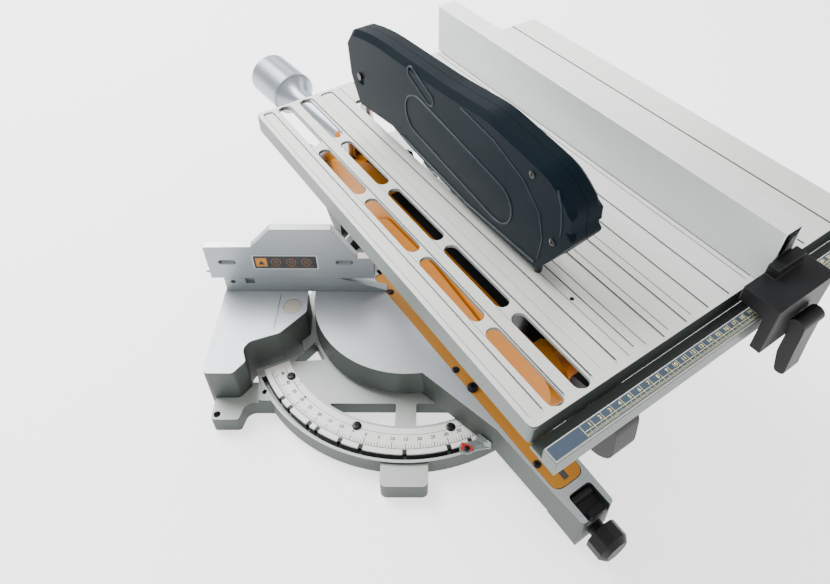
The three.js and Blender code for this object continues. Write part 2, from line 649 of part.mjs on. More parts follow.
function guardFoot() {
  return join(rod('y', 224, 344, 3, -13.2, 13.2, 16), rod('z', 224, -8, 3.6, TOP_Z + GAP, 344, 16));
}

function ripLever() {
  return join(
    rod('y', 0, 0, 7, -14, 14, 20),
    prism('y', outline([[-6, 0], [-5, -40, 4], [0, -62, 4], [9, -60, 4], [7, -30, 6], [6, 0]]), -10, 10),
  );
}

// ---- assembly -----------------------------------------------------------------------------
const saw = new THREE.Group();
const arm = new THREE.Group();
arm.rotation.z = THREE.MathUtils.degToRad(MITRE_REST - 90);
saw.add(arm);

function addBase() {
  saw.add(mesh('base_casting', baseCasting(), CAST));
  saw.add(mesh('mitre_scale_plate', mitreScale(), SCALE_WHITE, [0, 0, FLOOR_Z + GAP]));
  [-56.5, -19.2, 17.9, 56.5].forEach((deg, i) => {
    const [x, y] = polar(173, deg);
    saw.add(mesh(`scale_screw_${i + 1}`, pan(5.5, 1.8), BLACK_STEEL, [x, y, FLOOR_Z + 1 + 2 * GAP]));
  });
  saw.add(mesh('pivot_pin', rod('z', 0, 0, 12, 0, 15), STEEL, [0, 0, 38]));
  saw.add(mesh('fence_base', fenceBase(), MACHINED));
  [['left', -148], ['right', 148]].forEach(([side, x]) => {
    saw.add(mesh(`clamp_plug_${side}`, rod('z', 0, 0, 11.6, 0, 2, 24), TABLE_METAL,
      [x, -20.5, TABLE_Z - 2.5 + GAP]));
  });
}

function addFences() {
  const left = slidingFence();
  const seat = FENCE_BASE_TOP + 2 * GAP + 4.5;
  saw.add(mesh('left_fence', left, MACHINED));
  saw.add(mesh('left_fence_knob', fenceKnob(), BLACK, [-158, 34, seat]));
  saw.add(mesh('right_fence', left.mirror([1, 0, 0]), MACHINED));
  saw.add(mesh('right_fence_knob', fenceKnob(), BLACK, [158, 34, seat]));
}

function addTurntable() {
  arm.add(mesh('turntable_casting', turntableCasting(), CAST));
  arm.add(mesh('kerf_plate', kerfPlate(), KERF_AMBER, [0, 0, TABLE_Z - 4]));
  arm.add(mesh('pointer_mount', pointerMount(), CLEAR, [0, 0, 31.2]));
  arm.add(mesh('mitre_pointer', slab([[190, -52], [197, -58, 2], [206, -48, 2], [201, -45, 2]], 0, 1.2),
    RED, [0, 0, 34]));
  arm.add(mesh('mitre_lock_knob', lockKnob(), BLACK, [347, 1.5, 46]));
  arm.add(mesh('detent_latch', detentLatch(), BLACK, [317.6, 0, 66]));
  arm.add(mesh('bevel_scale', bevelScale(), SCALE_WHITE, [-103, 0, TABLE_Z]));
}

function addBevel() {
  arm.add(mesh('bevel_bracket', bevelBracket(), CAST));
  arm.add(mesh('bevel_pivot_bolt', join(rod('x', 0, TABLE_Z, 8, -144, -100, 20),
    rod('x', 0, TABLE_Z, 14, -146, -140 - GAP, 6)), STEEL));
  arm.add(mesh('bevel_pointer', prism('x', outline([[-3, 12], [0, 0], [3, 12]]), 0, 1.4), RED,
    [-121.7, 0, 114]));
  arm.add(mesh('bevel_clamp_lever', bevelClampLever(), BLACK, [-146.3, 0, TABLE_Z]));
}

function addHead() {
  arm.add(mesh('head_casting', headCasting(), AMBER));
  arm.add(mesh('gear_cover', gearCover(), CAST));
  arm.add(mesh('motor_housing', motorHousing(), AMBER, [MOTOR.a, 44.3, MOTOR.z]));
  arm.add(mesh('motor_cap', motorCap(), BLACK, [MOTOR.a, 140.6, MOTOR.z]));
  arm.add(mesh('motor_armature', armature(), STEEL, [MOTOR.a, 47, MOTOR.z]));
  arm.add(mesh('handle', handle(), BLACK, [286 + GAP, 0, 230]));
  arm.add(mesh('trigger', trigger(), BLACK, [308, 0, 238]));
  arm.add(mesh('lock_off_button', rod('y', 0, 0, 5, 0, 12, 18), RED, [326.3, 6, 246]));
  arm.add(mesh('chop_pivot_shaft', rod('y', 0, 0, 8, -46, 46, 24), STEEL, [PIVOT.a, 0, PIVOT.z]));
  arm.add(mesh('chop_spring', torsionSpring(), STEEL, [PIVOT.a, 21.5, PIVOT.z]));
  arm.add(mesh('dust_spout', dustSpout(), TABLE_METAL));
  arm.add(mesh('riving_knife', rivingKnife(), STEEL));
}

function addSpindle() {
  const at = [BLADE.a, 0, BLADE.z];
  arm.add(mesh('saw_blade', sawBlade(), STEEL, at));
  arm.add(mesh('arbor_shaft', arborShaft(), STEEL, at));
  arm.add(mesh('inner_flange', tube('y', 0, 0, 19, 9, 1.5, 6, 32), STEEL, at));
  arm.add(mesh('outer_flange', rod('y', 0, 0, 19, -6, -1.7, 32), STEEL, at));
  arm.add(mesh('arbor_bolt', rod('y', 0, 0, 8, -12, -6.3, 6), BLACK_STEEL, at));
  arm.add(mesh('lower_guard', lowerGuard(), SMOKED, at));
}

function addTable() {
  arm.add(mesh('table_top', tableTop(), TABLE_METAL));
  arm.add(mesh('front_rail', frontRail(), TABLE_METAL));
  arm.add(mesh('rule_strip', box(RAIL.a0 + 1.5, RAIL.a1 - 1.8, TOP_B[0] + 1, TOP_B[1] - 1, 0, 0.8),
    RULE_BLUE, [0, 0, RAIL.top + GAP]));
  const height = TOP_Z - TOP_T - GAP - 242;
  COLUMNS.forEach(([a, b], i) => {
    arm.add(mesh(`table_column_${i + 1}`, column(height), STEEL, [a, b, 242]));
  });
  arm.add(mesh('table_height_knob', heightKnob(), BLACK, [238, 34 + GAP, 228]));
}

function addGuard() {
  arm.add(mesh('upper_guard_left', guardHalf(-1), SMOKED));
  arm.add(mesh('upper_guard_right', guardHalf(1), SMOKED));
  arm.add(mesh('guard_foot', guardFoot(), BLACK));
  arm.add(mesh('guard_pivot_pin', rod('y', 0, 0, 4, -18, 18, 16), STEEL,
    [GUARD_PIVOT.a, 0, GUARD_PIVOT.z]));
}

function addRipFence() {
  arm.add(mesh('rip_fence_profile', ripProfile(), MACHINED));
  arm.add(mesh('rip_fence_head', ripHead(), BLACK));
  arm.add(mesh('rip_fence_lever', ripLever(), BLACK, [383.4, RIP.b + 4, 322]));
}

addBase();
addFences();
addTurntable();
addBevel();
addHead();
addSpindle();
addTable();
addGuard();
addRipFence();

export default saw;
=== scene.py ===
import bpy
import bmesh
import json
import math
from mathutils import Euler, Matrix, Vector


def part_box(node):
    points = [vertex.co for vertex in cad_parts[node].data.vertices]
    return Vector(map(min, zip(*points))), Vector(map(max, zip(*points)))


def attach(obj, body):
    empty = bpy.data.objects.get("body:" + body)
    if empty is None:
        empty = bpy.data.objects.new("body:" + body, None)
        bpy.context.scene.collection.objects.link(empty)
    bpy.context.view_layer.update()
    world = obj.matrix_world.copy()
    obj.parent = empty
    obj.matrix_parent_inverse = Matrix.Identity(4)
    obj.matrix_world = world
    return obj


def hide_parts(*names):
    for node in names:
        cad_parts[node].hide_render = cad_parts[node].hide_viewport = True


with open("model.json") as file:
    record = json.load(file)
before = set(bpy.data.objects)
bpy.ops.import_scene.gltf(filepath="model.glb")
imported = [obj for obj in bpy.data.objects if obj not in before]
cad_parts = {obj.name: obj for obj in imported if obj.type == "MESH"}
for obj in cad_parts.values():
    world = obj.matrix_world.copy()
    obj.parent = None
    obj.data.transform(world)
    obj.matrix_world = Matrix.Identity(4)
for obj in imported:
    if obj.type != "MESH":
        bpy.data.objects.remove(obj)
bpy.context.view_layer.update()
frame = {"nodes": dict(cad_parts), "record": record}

# Lengths are in millimetres, and MM turns them into Blender's metres.
MM = 0.001

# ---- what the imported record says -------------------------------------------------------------
behaviour = frame["record"]["behaviour"]
joints = {j["name"]: j for j in behaviour["joints"]}
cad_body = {n: b for b, ns in behaviour["bodies"].items() for n in ns}
node_slot = {s["node"]: s["material_slot"] for s in frame["record"]["subparts"]}

# The arm's own directions at rest. U runs forward along it, and V across it, to the right as the
# camera sees it. Below, a is a distance along U and b along V, both from the mitre axis.
Z = Vector((0, 0, 1))
V = Vector(joints["blade_spin"]["axis"]).normalized()
U = V.cross(Z)
ARM_TURN = math.atan2(U.y, U.x)


def box_mm(node):
    low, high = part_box(node)
    return [c / MM for c in low], [c / MM for c in high]


def top_of(node):
    return box_mm(node)[1][2]


TABLE_TOP = top_of("table_top")
STRIP_TOP = top_of("rule_strip")
PLATE_TOP = top_of("mitre_scale_plate")
KERF_TOP = top_of("kerf_plate")
POINTER_TOP = top_of("mitre_pointer")
SIDE_TABLE_TOP = top_of("base_casting")
FENCE_FACE = box_mm("left_fence")[0][1]


# ---- placing: each turns an outline's two coordinates and a depth into a point ----------------
def arm_up(a, b, height):
    return (U * a + V * b + Z * height) * MM


def arm_side(a, height, b):
    return (U * a + V * b + Z * height) * MM


def world_up(x, y, height):
    return Vector((x, y, height)) * MM


def world_face(x, height, y):
    return Vector((x, y, height)) * MM


def polar_place(degree):
    """The outward and the sideways direction on the mitre scale, and a placing for marks there."""
    turn = math.radians(degree)
    out = Vector((math.sin(turn), -math.cos(turn), 0))
    along = Vector((math.cos(turn), math.sin(turn), 0))

    def on_ring(u, radius, height):
        return (out * radius + along * u + Z * height) * MM
    return out, along, on_ring


# ---- materials -------------------------------------------------------------------------------
COAT_ROUGHNESS = 0.12
LEAST_ROUGHNESS = 0.02
FINE_DETAIL, BROAD_DETAIL, MILLED_DETAIL = 3, 4, 2
BROAD_GRAIN, MILLED_GRAIN = 14, 900
FINE_SHARE = 0.65
STREAK_SCALE = (0.03, 1, 1)
MILLED_SCALE = (0.04, 1, 1)
# How far up a normal points on a level face
LEVEL_NORMAL = 0.97
# Where a ramp's dark and light ends are, the share of vary that its light end gets, and the
# darkest and lightest shade of the colours that have fixed ones
RAMP_ENDS, MILLED_ENDS = (0.3, 0.7), (0, 1)
LIGHT_SHARE = 0.6
# PAINTED_LIGHT_LEVEL_TONES tone the painted light on level faces, and PAINTED_SHADE_TONES the painted
# shade on the head
PAINTED_SHADE_TONES, PAINTED_LIGHT_LEVEL_TONES, MILLED_SHADES = (0.9, 1.1), (0.88, 1.05), (0.93, 1.06)


def srgb(r, g, b):
    def lin(c):
        c /= 255
        return c / 12.92 if c <= 0.04045 else ((c + 0.055) / 1.055) ** 2.4
    return (lin(r), lin(g), lin(b), 1.0)


def dim(color, k):
    return (color[0] * k, color[1] * k, color[2] * k, 1.0)


def material(name, color, rough, metal=0.0, grain=700, vary=0.12, bump=0.15, streak=None, top=None,
             painted_light_level=None, inner=None, coat=0.0, transmission=0.0, glow=0.0, rough_vary=0.1,
             bump_depth=0.0003, specular=0.5, ior=1.5):
    """A finish with a fine and a broad grain in its colour and roughness, and the fine one in its bump.

    streak draws the fine grain out along x, and its number turns the pattern. top is a colour and a
    roughness for level faces above a height, and ledge a lighter colour for the other level faces, which
    is painted light from above. inner is a colour of painted shade for the zone from one a to another
    that lies beyond a b.
    """
    mat = bpy.data.materials.new(name)
    mat.use_nodes = True
    nodes, links = mat.node_tree.nodes, mat.node_tree.links

    def feed(node, inputs):
        for socket, value in inputs.items():
            if isinstance(value, bpy.types.NodeSocket):
                links.new(value, node.inputs[socket])
            else:
                node.inputs[socket].default_value = value

    def add(kind, output, inputs, **settings):
        """A new node's output. Each input is a plain value or another node's output."""
        node = nodes.new(kind)
        for setting, value in settings.items():
            setattr(node, setting, value)
        feed(node, inputs)
        return node.outputs[output]

    def calc(operation, *values):
        return add("ShaderNodeMath", 0, dict(enumerate(values)), operation=operation)

    def both(one, two):
        return calc("MULTIPLY", one, two)

    def noise(vector, scale, detail):
        return add("ShaderNodeTexNoise", "Fac", {"Vector": vector, "Scale": scale, "Detail": detail})

    def stretched(scale, turn):
        inputs = {"Vector": point, "Rotation": (0, 0, turn), "Scale": scale}
        return add("ShaderNodeMapping", "Vector", inputs)

    def distance(direction):
        return add("ShaderNodeVectorMath", "Value", {0: point, 1: direction}, operation="DOT_PRODUCT")

    def upward(vector):
        return add("ShaderNodeSeparateXYZ", "Z", {0: vector})

    def mixed(factor, under, over, kind="RGBA"):
        return add("ShaderNodeMix", "Result", {"Factor": factor, "A": under, "B": over}, data_type=kind)

    def shades(value, base, low_high, ends=RAMP_ENDS):
        """The base colour, times low where the value is small and times high where it is large."""
        node = nodes.new("ShaderNodeValToRGB")
        for element, at, k in zip(node.color_ramp.elements, ends, low_high):
            element.position = at
            element.color = dim(base, k)
        feed(node, {"Fac": value})
        return node.outputs["Color"]

    point = add("ShaderNodeTexCoord", "Object", {})
    fine_place = stretched((1, 1, 1), 0) if streak is None else stretched(STREAK_SCALE, streak)
    fine = noise(fine_place, grain, FINE_DETAIL)
    broad = noise(point, BROAD_GRAIN, BROAD_DETAIL)
    blend = calc("MULTIPLY_ADD", fine, FINE_SHARE, calc("MULTIPLY", broad, 1 - FINE_SHARE))
    colour = shades(blend, color, (1 - vary, 1 + vary * LIGHT_SHARE))
    rough_range = {"Value": blend, "To Min": max(LEAST_ROUGHNESS, rough - rough_vary),
                   "To Max": min(1, rough + rough_vary)}
    roughness = add("ShaderNodeMapRange", "Result", rough_range)
    normal = add("ShaderNodeBump", "Normal", {"Height": fine, "Strength": bump, "Distance": bump_depth})
    # inner is painted shade: a black zone on the head where the gap beside it lies in shadow.
    if inner:
        painted_shade_color, from_a, to_a, from_b = inner
        forward = distance(U)
        span = both(calc("GREATER_THAN", forward, from_a * MM), calc("LESS_THAN", forward, to_a * MM))
        zone = both(calc("GREATER_THAN", distance(V), from_b * MM), span)
        colour = mixed(zone, colour, shades(blend, painted_shade_color, PAINTED_SHADE_TONES))
    if top:
        top_color, top_rough, top_from = top
        level = calc("GREATER_THAN", upward(add("ShaderNodeNewGeometry", "Normal", {})), LEVEL_NORMAL)
        high = both(level, calc("GREATER_THAN", upward(point), top_from * MM))
        # Level faces below the top take the ledge colour, a lighter copy: painted light from above.
        if painted_light_level:
            colour = mixed(level, colour, shades(blend, painted_light_level, PAINTED_LIGHT_LEVEL_TONES))
        milled = noise(stretched(MILLED_SCALE, 0), MILLED_GRAIN, MILLED_DETAIL)
        colour = mixed(high, colour, shades(milled, top_color, MILLED_SHADES, MILLED_ENDS))
        roughness = mixed(high, roughness, top_rough, "FLOAT")
    feed(nodes["Principled BSDF"], {
        "Base Color": colour, "Roughness": roughness, "Normal": normal, "Metallic": metal,
        "Coat Weight": coat, "Coat Roughness": COAT_ROUGHNESS, "Transmission Weight": transmission,
        "Specular IOR Level": specular, "IOR": ior, "Emission Color": color, "Emission Strength": glow})
    return mat


# Heights above which a level face counts as a finished top
CAST_HIGH, FENCE_HIGH, TABLE_HIGH, PROFILE_HIGH = 74, 100, 320, 330
AMBER_RGB = srgb(184, 110, 4)
# The head's inner part is painted black as painted shade for the shadowed gap between motor housing
# and guard: the a where it starts, the a where it ends, and the b that it lies beyond
PAINTED_SHADE_ZONE = (5, 245, -22)

# In the cast finishes, ledge is painted light: level faces get a lighter copy of the dark wall colour.
CAST = material("cast_metal", srgb(62, 70, 66), 0.5, 0.4, grain=900, vary=0.18, bump=0.5,
                top=(srgb(192, 201, 207), 0.33, CAST_HIGH), painted_light_level=srgb(160, 168, 164),
                bump_depth=0.0004)
CAST_FLOOR = material("cast_floor", srgb(64, 72, 68), 0.55, 0.3, grain=1100, vary=0.22, bump=0.5,
                      top=(srgb(200, 208, 213), 0.36, CAST_HIGH), painted_light_level=srgb(186, 192, 189),
                      bump_depth=0.0004)
FENCE = material("fence_metal", srgb(146, 153, 157), 0.38, 0.5, grain=600, vary=0.07, bump=0.12,
                 streak=0, top=(srgb(240, 243, 244), 0.3, FENCE_HIGH))
PROFILE = material("profile_metal", srgb(208, 213, 215), 0.4, 0.4, grain=600, vary=0.06, bump=0.1,
                   streak=-ARM_TURN, top=(srgb(246, 247, 247), 0.34, PROFILE_HIGH))
TABLE = material("table_metal", srgb(84, 92, 88), 0.4, 0.4, grain=500, vary=0.07, bump=0.12,
                 streak=-ARM_TURN, top=(srgb(240, 240, 236), 0.36, TABLE_HIGH))
ALLOY = material("bright_alloy", srgb(150, 157, 164), 0.34, 0.6, grain=500, vary=0.08, bump=0.1)
STEEL = material("steel", srgb(190, 193, 197), 0.25, 0.95, grain=800, vary=0.08, bump=0.1)
BLACK_STEEL = material("black_steel", srgb(20, 21, 23), 0.38, 0.3, grain=900, vary=0.2)
AMBER = material("amber_paint", AMBER_RGB, 0.5, grain=900, vary=0.08, bump=0.16, specular=0.2)
# The head's amber paint, with painted shade in black over its inner part.
AMBER_HEAD_PAINTED_SHADE = material("amber_head_paint_and_painted_shade", AMBER_RGB, 0.5, grain=900, vary=0.08, bump=0.16,
                      specular=0.2, inner=(srgb(14, 15, 14), *PAINTED_SHADE_ZONE))
PLUG = material("clamp_plug_metal", srgb(196, 192, 180), 0.42, 0.3, grain=800, vary=0.06, bump=0.1)
KERF = material("kerf_plastic", srgb(186, 124, 34), 0.45, grain=1400, vary=0.1, bump=0.25)
BLACK = material("black_plastic", srgb(20, 21, 23), 0.5, grain=1600, vary=0.2, bump=0.4, specular=0.25)
SMOKED = material("smoked_plastic", srgb(13, 24, 31), 0.42, grain=300, vary=0.14, bump=0.03,
                  rough_vary=0.05, specular=0.35, ior=1.14)
SMOKED_RIM = material("smoked_rim", srgb(30, 42, 51), 0.3, grain=300, bump=0.03, specular=0.3, ior=1.3)
CLEAR = material("clear_plastic", srgb(190, 198, 198), 0.1, grain=300, vary=0.05, bump=0.02,
                 transmission=0.7)
RED = material("red_plastic", srgb(186, 40, 40), 0.3, grain=900, vary=0.1, bump=0.1, coat=0.3)
SCALE = material("scale_plate", srgb(250, 250, 248), 0.3, vary=0.04, bump=0.05)
RULE = material("rule_strip", srgb(62, 76, 92), 0.35, 0.1, vary=0.08, bump=0.06)
COPPER_INK = material("copper_ink", srgb(138, 92, 60), 0.5, grain=900, vary=0.15, bump=0.05)
INK = material("black_ink", srgb(16, 18, 20), 0.5, grain=900, vary=0.2, bump=0.05)
PALE_INK = material("pale_ink", srgb(222, 214, 150), 0.5, grain=900, vary=0.06, bump=0.05)
SILVER_INK = material("silver_ink", srgb(200, 204, 206), 0.4, 0.2, grain=900, vary=0.06, bump=0.05)
LABEL = material("label_black", srgb(26, 27, 30), 0.3, vary=0.15, bump=0.05, coat=0.3)
FLOOR_PAPER = material("floor_paper", srgb(250, 250, 250), 0.9, grain=40, vary=0.01, bump=0.0, glow=1.6)


# ---- outlines --------------------------------------------------------------------------------
def rect(u0, u1, v0, v1):
    return [(u0, v0), (u1, v0), (u1, v1), (u0, v1)]


def arc(u, v, r, start, end, steps):
    """Points round a centre from one angle to another, in degrees, with both ends."""
    turns = [math.radians(start + (end - start) * i / steps) for i in range(steps + 1)]
    return [(u + r * math.cos(t), v + r * math.sin(t)) for t in turns]


def circle(u, v, r, steps):
    return arc(u, v, r, 0, 360, steps)[:-1]


def band(inner_r, outer_r, start, end, steps, centre=(0, 0)):
    """Part of a flat ring."""
    return arc(*centre, outer_r, start, end, steps) + arc(*centre, inner_r, start, end, steps)[::-1]


def rounded(u0, u1, v0, v1, r, steps=5):
    """A rectangle with round corners."""
    corners = ((u1 - r, v0 + r, -90), (u1 - r, v1 - r, 0), (u0 + r, v1 - r, 90), (u0 + r, v0 + r, 180))
    return [point for u, v, start in corners for point in arc(u, v, r, start, start + 90, steps)]


def racetrack(u0, v0, u1, v1, r, steps=12):
    """The outline of a bar with round ends, from one end's centre to the other's."""
    lean = math.degrees(math.atan2(v1 - v0, u1 - u0))
    return arc(u1, v1, r, lean - 90, lean + 90, steps) + arc(u0, v0, r, lean + 90, lean + 270, steps)


# ---- mesh helpers ----------------------------------------------------------------------------
SMOOTH_ANGLE = 35
MERGE_METRES = 1e-6
FLAT_ANGLE = math.radians(1)


def link(thing):
    bpy.context.scene.collection.objects.link(thing)
    return thing


def new_object(bm, name):
    mesh = bpy.data.meshes.new(name)
    bm.to_mesh(mesh)
    bm.free()
    return link(bpy.data.objects.new(name, mesh))


def smooth(mesh, angle=SMOOTH_ANGLE):
    """Smooth shading, with every edge that turns by more than the angle kept sharp."""
    bm = bmesh.new()
    bm.from_mesh(mesh)
    limit = math.radians(angle)
    for face in bm.faces:
        face.smooth = True
    for edge in bm.edges:
        if len(edge.link_faces) == 2 and edge.calc_face_angle(0) > limit:
            edge.smooth = False
    bm.to_mesh(mesh)
    bm.free()


def add_bevel(piece, width, segments, angle):
    mod = piece.modifiers.new("edges", "BEVEL")
    mod.width = width * MM
    mod.segments = segments
    mod.limit_method = "ANGLE"
    mod.angle_limit = math.radians(angle)
    mod.use_clamp_overlap = True
    mod.miter_outer = "MITER_ARC"
    mod.harden_normals = False
    for polygon in piece.data.polygons:
        polygon.use_smooth = True
    weight = piece.modifiers.new("shade", "WEIGHTED_NORMAL")
    weight.keep_sharp = True


def cut(piece, cutter, use_self=False):
    """Takes the cutter's shape out of the piece for good, and removes the cutter."""
    mod = piece.modifiers.new("cut", "BOOLEAN")
    mod.object = cutter
    mod.operation = "DIFFERENCE"
    mod.solver = "EXACT"
    mod.use_self = use_self
    graph = bpy.context.evaluated_depsgraph_get()
    graph.update()
    made = bpy.data.meshes.new_from_object(piece.evaluated_get(graph))
    piece.modifiers.clear()
    old = piece.data
    piece.data = made
    bpy.data.meshes.remove(old)
    bpy.data.objects.remove(cutter)


def add_prism(bm, outline, bottom, top, place):
    low = [bm.verts.new(place(u, v, bottom)) for u, v in outline]
    high = [bm.verts.new(place(u, v, top)) for u, v in outline]
    bm.faces.new(low)
    bm.faces.new(high[::-1])
    count = len(outline)
    for i in range(count):
        k = (i + 1) % count
        bm.faces.new((low[i], high[i], high[k], low[k]))


def add_wall(bm, start, end, thick, bottom, top):
    """A straight upright strip, on the left of the line from start to end as seen from above."""
    run = Vector((end[0] - start[0], end[1] - start[1])).normalized()
    side = Vector((-run.y, run.x)) * thick
    footprint = [start, end, (end[0] + side.x, end[1] + side.y), (start[0] + side.x, start[1] + side.y)]
    add_prism(bm, footprint, bottom, top, world_up)


def prisms_mesh(prisms):
    bm = bmesh.new()
    for prism in prisms:
        add_prism(bm, *prism)
    return bm


def finish_mesh(bm, name, mat, body):
    bmesh.ops.recalc_face_normals(bm, faces=bm.faces)
    piece = new_object(bm, name)
    piece.data.materials.append(mat)
    smooth(piece.data)
    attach(piece, body)
    return piece


def solid(name, prisms, mat, body):
    return finish_mesh(prisms_mesh(prisms), name, mat, body)


def cutter_object(name, prisms):
    """A shape to cut with. Where its prisms overlap, the cut needs use_self or a second cutter."""
    bm = prisms_mesh(prisms)
    bmesh.ops.recalc_face_normals(bm, faces=bm.faces)
    return new_object(bm, name)


def refine(node, mat, slot, bevel, segments=2, cutters=(), angle=SMOOTH_ANGLE, prepare=None):
    """A finer copy of a CAD node with broken edges, which stands for it."""
    bm = bmesh.new()
    bm.from_mesh(frame["nodes"][node].data)
    bmesh.ops.remove_doubles(bm, verts=bm.verts, dist=MERGE_METRES)
    bmesh.ops.dissolve_limit(bm, angle_limit=FLAT_ANGLE, verts=bm.verts, edges=bm.edges)
    if prepare:
        prepare(bm)
    piece = new_object(bm, node + "_fine")
    piece.data.materials.append(mat)
    for cutter in cutters:
        cut(piece, cutter)
    smooth(piece.data, angle)
    add_bevel(piece, bevel, segments, angle)
    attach(piece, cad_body[node])
    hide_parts(node)
    return piece


TEXT_THICK = 0.06


def lettering(name, marks, size, mat, body, bold):
    """Numerals joined in one flat mesh. Each mark is (text, origin, right, up)."""
    bm = bmesh.new()
    for text, origin, right, up in marks:
        curve = bpy.data.curves.new(name + "_text", "FONT")
        curve.body = text
        curve.size = size * MM
        curve.align_x = "CENTER"
        curve.align_y = "CENTER"
        curve.extrude = TEXT_THICK * MM / 2
        curve.offset = bold * MM
        curve.resolution_u = 2
        thing = bpy.data.objects.new(name + "_text", curve)
        mesh = bpy.data.meshes.new_from_object(thing)
        turn = Matrix((right, up, right.cross(up))).transposed().to_4x4()
        mesh.transform(Matrix.Translation(origin) @ turn)
        bm.from_mesh(mesh)
        bpy.data.meshes.remove(mesh)
        bpy.data.objects.remove(thing)
        bpy.data.curves.remove(curve)
    return finish_mesh(bm, name, mat, body)


# A screw head's rings, from its foot to its crown: shares of its radius and of its height. Its cross
# has a length, half a width and two floors, in the same shares.
SCREW_RINGS = ((1, 0), (1, 0.45), (0.82, 0.85), (0.5, 1))
SCREW_SIDES = 24
CROSS_LONG, CROSS_HALF, CROSS_FLOORS = 0.55, 0.12, (0.35, 0.36)


def screw_head(name, origin, normal, radius, height, body, slot="screw", mat=BLACK_STEEL):
    bm = bmesh.new()
    loops = []
    for r, z in SCREW_RINGS:
        outline = circle(0, 0, radius * r, SCREW_SIDES)
        loops.append([bm.verts.new(world_up(u, v, height * z)) for u, v in outline])
    for one, two in zip(loops, loops[1:]):
        for i in range(SCREW_SIDES):
            k = (i + 1) % SCREW_SIDES
            bm.faces.new((one[i], one[k], two[k], two[i]))
    bm.faces.new(loops[-1])
    bm.faces.new(loops[0][::-1])
    piece = new_object(bm, name)
    arm, half = radius * CROSS_LONG, radius * CROSS_HALF
    bars = zip((rect(-arm, arm, -half, half), rect(-half, half, -arm, arm)), CROSS_FLOORS)
    cross = [(bar, height * level, height * 2, world_up) for bar, level in bars]
    cut(piece, cutter_object(name + "_cross", cross), use_self=True)
    turn = normal.to_track_quat("Z", "Y").to_matrix().to_4x4()
    piece.data.transform(Matrix.Translation(origin) @ turn)
    piece.data.materials.clear()
    piece.data.materials.append(mat)
    smooth(piece.data)
    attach(piece, body)
    return piece


# ---- camera, floor and light -----------------------------------------------------------------
camera_data = bpy.data.cameras.new("camera")
camera_data.lens = 29.73
camera_data.sensor_width = 36
camera_data.shift_x = -0.0191
camera_data.shift_y = -0.0921
camera = link(bpy.data.objects.new("camera", camera_data))
camera.location = (0.0301, -0.5865, 0.7585)
camera.rotation_euler = Euler([math.radians(turn) for turn in (47.24, -0.09, 0.18)])
bpy.context.scene.camera = camera

FLOOR_HALF = 30
floor_corners = [(x, y, 0) for x, y in rect(-FLOOR_HALF, FLOOR_HALF, -FLOOR_HALF, FLOOR_HALF)]
floor_mesh = bpy.data.meshes.new("floor")
floor_mesh.from_pydata(floor_corners, [], [(0, 1, 2, 3)])
floor_mesh.materials.append(FLOOR_PAPER)
floor = link(bpy.data.objects.new("floor", floor_mesh))

world = bpy.data.worlds.new("studio")
bpy.context.scene.world = world
world.use_nodes = True
background = world.node_tree.nodes["Background"]
background.inputs["Color"].default_value = (1, 1, 1, 1)
background.inputs["Strength"].default_value = 0.7


def area_light(name, location, target, size, power):
    data = bpy.data.lights.new(name, "AREA")
    data.shape = "RECTANGLE"
    data.size, data.size_y = size
    data.energy = power
    lamp = link(bpy.data.objects.new(name, data))
    lamp.location = location
    lamp.rotation_euler = (Vector(target) - Vector(location)).to_track_quat("-Z", "Y").to_euler()


# Places and sizes are in metres, and the last number is the power in watts.
area_light("key", (-1.2, 0.9, 2.0), (0, 0, 0.1), (1.4, 1.4), 110)
area_light("fill", (1.6, -1.2, 1.5), (0, 0, 0.1), (1.6, 1.2), 16)
area_light("back", (0.3, 2.2, 1.3), (0, 0, 0.2), (2.2, 0.8), 24)

# ---- the base: a line across each side table, and walls round the ring floor's windows --------
CUT_ABOVE = 2
SIDE_LINE_X, SIDE_LINE_Y, SIDE_LINE_HALF, SIDE_LINE_DEEP = 165.6, (-58.3, -0.4), 0.5, 1
side_lines = [(rect(x - SIDE_LINE_HALF, x + SIDE_LINE_HALF, *SIDE_LINE_Y),
               SIDE_TABLE_TOP - SIDE_LINE_DEEP, SIDE_TABLE_TOP + CUT_ABOVE, world_up)
              for x in (-SIDE_LINE_X, SIDE_LINE_X)]
refine("base_casting", CAST_FLOOR, "cast", 1.1, cutters=[cutter_object("side_lines", side_lines)])

# Each wall of the left half is a line of two (x, y) points. The right half mirrors it.
WALL_LINES = (((-90, -132.9), (-12.2, -132.9)), ((-12.2, -132.9), (-12.2, -161)),
              ((-144, -71.3), (-121.2, -42)), ((-121.2, -42), (-105.2, -68.4)))
WALL_BOTTOM, WALL_TOP, WALL_THICK = 9, PLATE_TOP - 2.2, 2
window_walls = bmesh.new()
for mirror in (1, -1):
    for line in WALL_LINES:
        near, far = [(x * mirror, y) for x, y in line[::mirror]]
        add_wall(window_walls, near, far, WALL_THICK, WALL_BOTTOM, WALL_TOP)
finish_mesh(window_walls, "window_walls", CAST_FLOOR, "base")

# ---- other CAD nodes that get a finer copy: material, slot, edge width and edge segments -------
FINER = {
    "fence_base": (FENCE, "machined", 0.6), "left_fence": (FENCE, "machined", 0.7),
    "right_fence": (FENCE, "machined", 0.7), "turntable_casting": (CAST, "cast", 1.0),
    "kerf_plate": (KERF, "kerf", 0.4), "bevel_bracket": (CAST, "cast", 1.2),
    "gear_cover": (CAST, "cast", 0.8), "head_casting": (AMBER_HEAD_PAINTED_SHADE, "amber", 1.6, 3),
    "motor_housing": (AMBER, "amber", 0.8), "rip_fence_profile": (PROFILE, "machined", 0.6),
    "front_rail": (TABLE, "table", 0.5), "dust_spout": (ALLOY, "table", 0.8)}
for black_node in ("motor_cap", "handle", "left_fence_knob", "right_fence_knob", "table_height_knob",
                   "bevel_clamp_lever", "rip_fence_head", "rip_fence_lever", "detent_latch", "trigger"):
    FINER[black_node] = (BLACK, "black", 1.0, 3)
